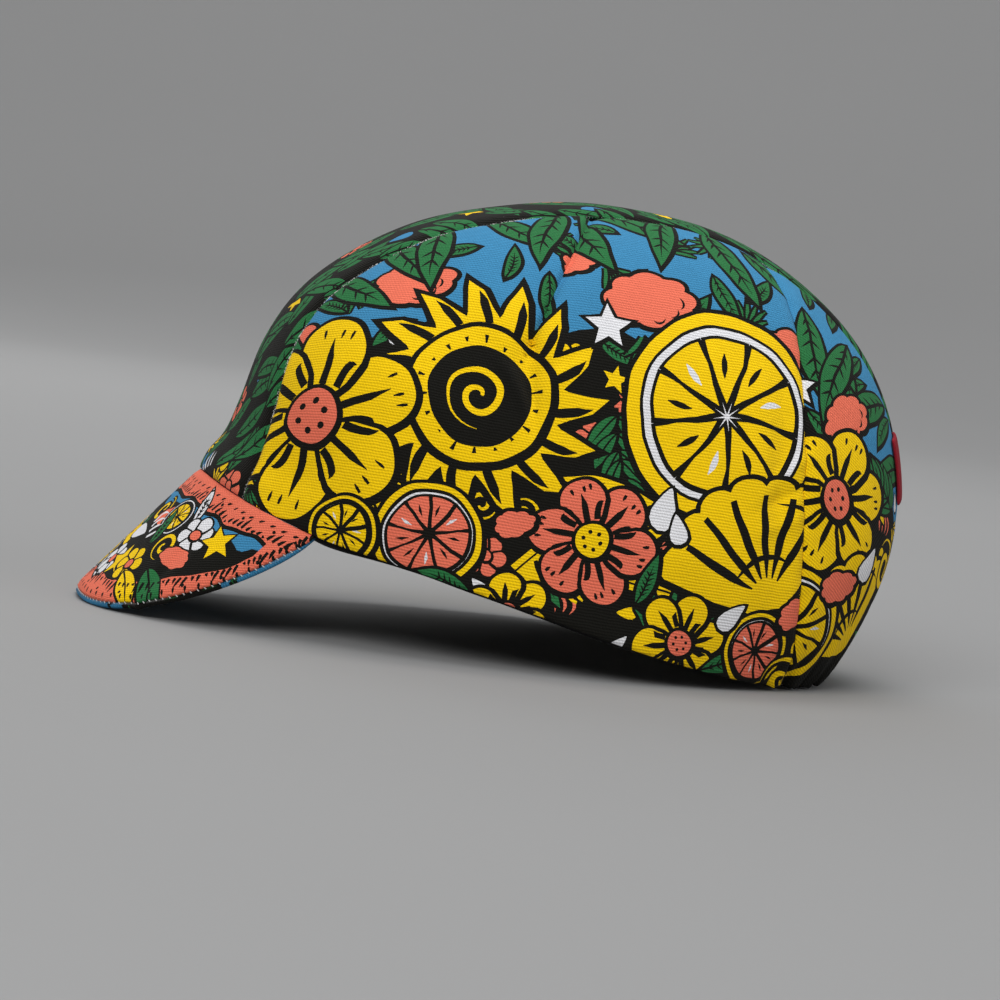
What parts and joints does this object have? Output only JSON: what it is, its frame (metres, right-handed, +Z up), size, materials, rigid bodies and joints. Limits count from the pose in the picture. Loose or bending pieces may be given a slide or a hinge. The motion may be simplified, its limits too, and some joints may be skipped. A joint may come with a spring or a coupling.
{
  "type": "cycling cap",
  "caption": "Cotton cycling cap with a short curved peak, a centre strip over the crown, darted side panels, gathered rear panels and a sweatband.",
  "frame": {"origin": "bottom centre of the cap's box, on the surface that it rests on", "axes": "+X to the wearer's left, +Y to the back, the peak points to -Y, +Z up"},
  "size_m": [0.162, 0.246, 0.1354],
  "materials": {
    "strip_cloth": "printed cotton twill, mostly green and black leaves",
    "printed_cloth": "printed cotton twill, yellow, black, blue and coral",
    "peak_cloth": "printed cotton twill, coral border round a black field",
    "under_cloth": "printed cotton twill, mostly blue",
    "band_cloth": "black brushed cotton",
    "tab_cloth": "dark red woven tape"
  },
  "bodies": {
    "root": {"centre_strip": "strip_cloth", "side_panel_left": "printed_cloth", "side_panel_right": "printed_cloth", "rear_panel_left": "printed_cloth", "rear_panel_right": "printed_cloth", "peak_top": "peak_cloth", "peak_under": "under_cloth", "sweatband": "band_cloth", "seam_tab": "tab_cloth"}
  },
  "joints": []
}
